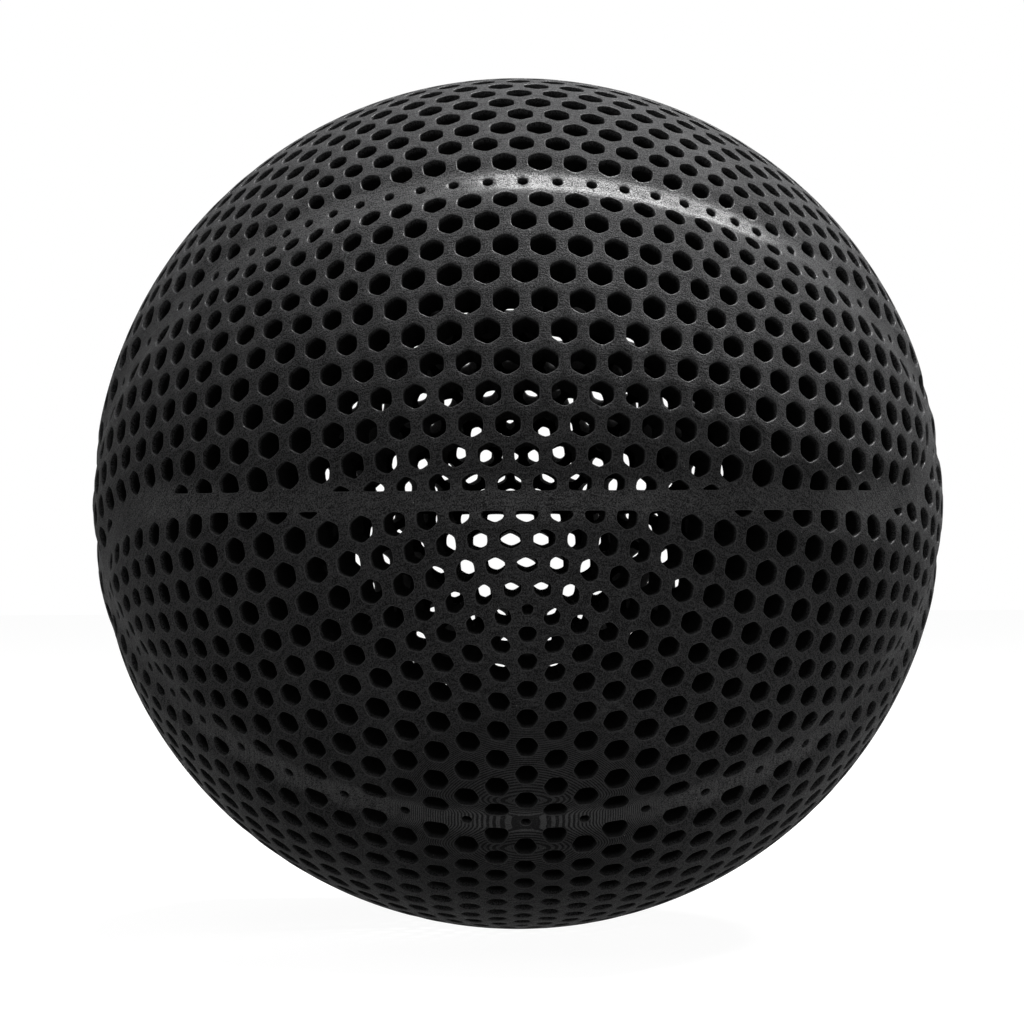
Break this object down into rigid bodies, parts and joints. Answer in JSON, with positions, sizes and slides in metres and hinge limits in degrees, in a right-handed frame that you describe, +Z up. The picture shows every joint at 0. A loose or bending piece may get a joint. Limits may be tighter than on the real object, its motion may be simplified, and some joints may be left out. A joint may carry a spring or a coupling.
{
  "type": "airless basketball",
  "caption": "Airless basketball: hollow lattice shell of hexagonal cells in bulging panels, with solid ribs along the seams; keeps its shape and bounces without air",
  "frame": {"origin": "centre of the ball", "axes": "-Y to the front, +Z up; the two round seams cross on the x axis, each leaning 45 degrees, and the third seam runs straight across the front in the plane z = 0"},
  "size_m": [0.2374, 0.239, 0.239],
  "materials": {
    "panel": "matte black sintered elastomer with a fine grain",
    "rib": "matte black sintered elastomer with a fine grain"
  },
  "bodies": {
    "root": {"panel_a_front": "panel", "panel_a_top": "panel", "panel_a_bottom": "panel", "panel_a_back": "panel", "panel_b_front": "panel", "panel_b_top": "panel", "panel_b_bottom": "panel", "panel_b_back": "panel", "ring_rib": "rib", "cross_rib_front": "rib", "cross_rib_back": "rib", "turn_rib_front": "rib", "turn_rib_top": "rib", "turn_rib_bottom": "rib", "turn_rib_back": "rib"}
  },
  "joints": []
}
